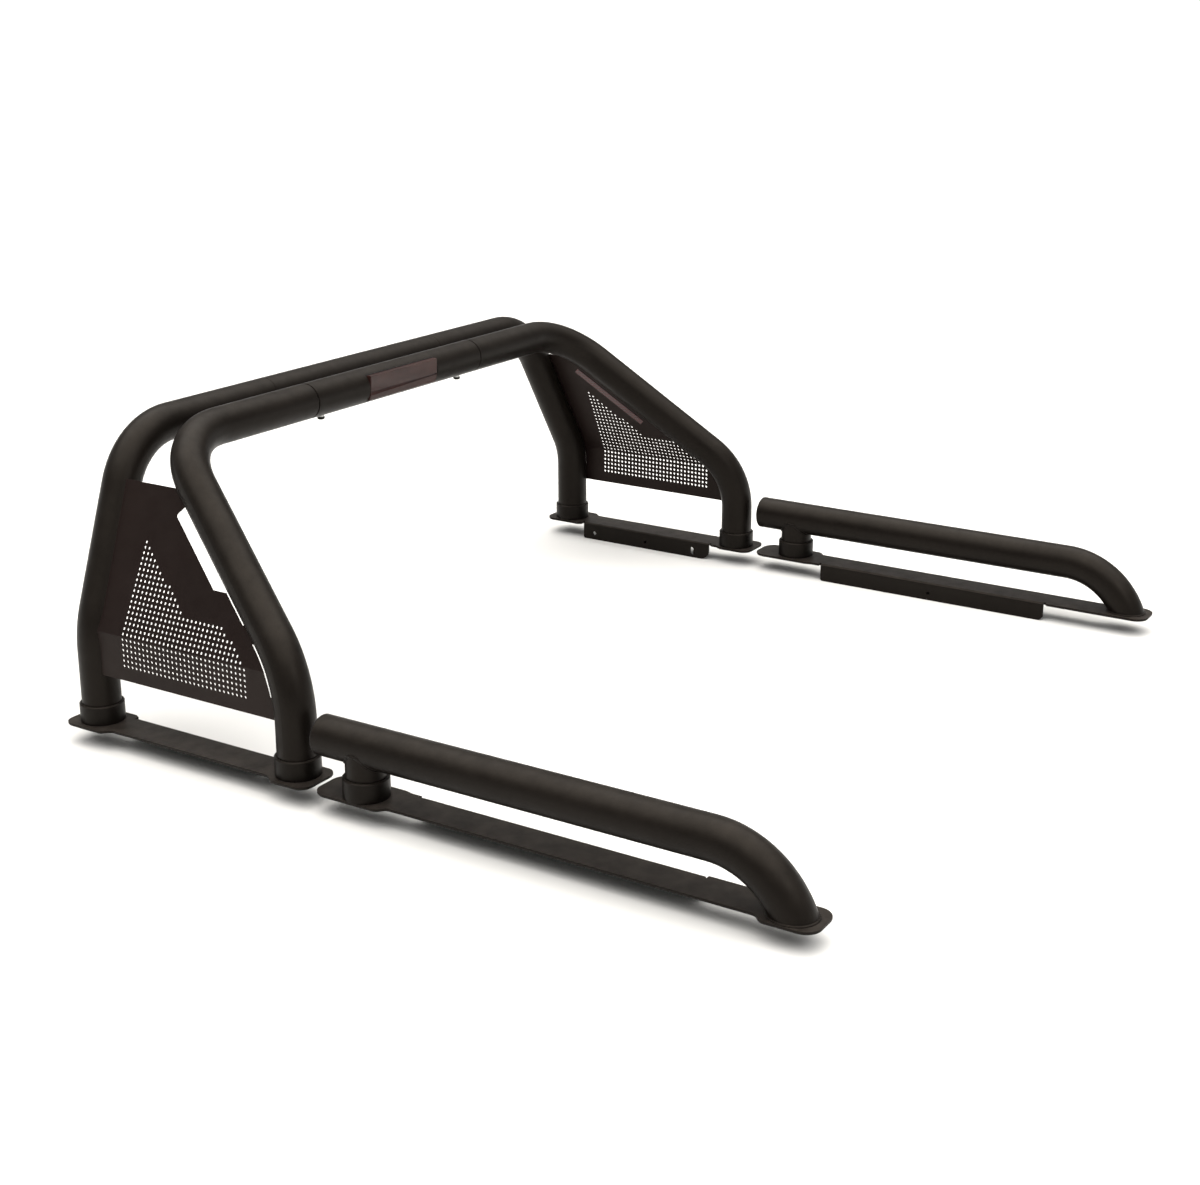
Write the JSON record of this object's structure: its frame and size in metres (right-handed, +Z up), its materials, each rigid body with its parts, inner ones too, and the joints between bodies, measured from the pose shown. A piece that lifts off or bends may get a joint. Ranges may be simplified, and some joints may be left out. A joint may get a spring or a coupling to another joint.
{
  "type": "truck bed headache rack with side rails",
  "caption": "Tubular headache rack for a pickup bed with perforated side panels, side rails, telescoping crossbars and a smoked brake lamp.",
  "frame": {"origin": "middle of the bounding box in x and y, at its bottom face, level with the lower edges of the clamp flanges", "axes": "+X truck's right and along the crossbars, +Y forward towards the cab, +Z up"},
  "size_m": [1.79, 1.647, 0.6191],
  "materials": {
    "black_steel": "satin powder coat, warm black",
    "spigot_steel": "drawn tube, lightly oiled",
    "zinc_steel": "zinc plated",
    "screw_steel": "black oxide",
    "gasket_rubber": "matte",
    "cap_plastic": "moulded, fine grain",
    "board_laminate": "solder mask",
    "diode_resin": "cast resin",
    "smoked_lens": "smoked red, translucent",
    "red_reflector": "prismatic sheet"
  },
  "bodies": {
    "centre": {"front_centre_tube": "black_steel", "rear_centre_tube": "black_steel", "clamp_screws": "screw_steel", "clamp_bosses": "black_steel", "lamp_housing": "cap_plastic", "lamp_board": "board_laminate", "lamp_leds": "diode_resin", "lamp_lens": "smoked_lens", "lamp_gasket": "gasket_rubber", "lamp_screws": "screw_steel"},
    "left_side": {"front_hoop_left": "black_steel", "rear_hoop_left": "black_steel", "front_spigot_left": "spigot_steel", "rear_spigot_left": "spigot_steel", "front_collar_left": "black_steel", "rear_collar_left": "black_steel", "hoop_plate_left": "black_steel", "hoop_gasket_left": "gasket_rubber", "side_panel_left": "black_steel", "reflector_strip_left": "red_reflector", "side_rail_left": "black_steel", "rail_cap_left": "cap_plastic", "rail_post_left": "black_steel", "rail_collar_left": "black_steel", "rail_plate_left": "black_steel", "rail_gasket_left": "gasket_rubber", "flange_nuts_left": "zinc_steel"},
    "right_side": {"front_hoop_right": "black_steel", "rear_hoop_right": "black_steel", "front_spigot_right": "spigot_steel", "rear_spigot_right": "spigot_steel", "front_collar_right": "black_steel", "rear_collar_right": "black_steel", "hoop_plate_right": "black_steel", "hoop_gasket_right": "gasket_rubber", "side_panel_right": "black_steel", "reflector_strip_right": "red_reflector", "side_rail_right": "black_steel", "rail_cap_right": "cap_plastic", "rail_post_right": "black_steel", "rail_collar_right": "black_steel", "rail_plate_right": "black_steel", "rail_gasket_right": "gasket_rubber", "flange_nuts_right": "zinc_steel"}
  },
  "joints": [
    {"name": "right_width", "type": "slide", "parent": "centre", "child": "right_side", "axis": [1, 0, 0], "range_m": [0, 0.05]},
    {"name": "left_width", "type": "slide", "parent": "centre", "child": "left_side", "axis": [-1, 0, 0], "range_m": [0, 0.05]}
  ]
}
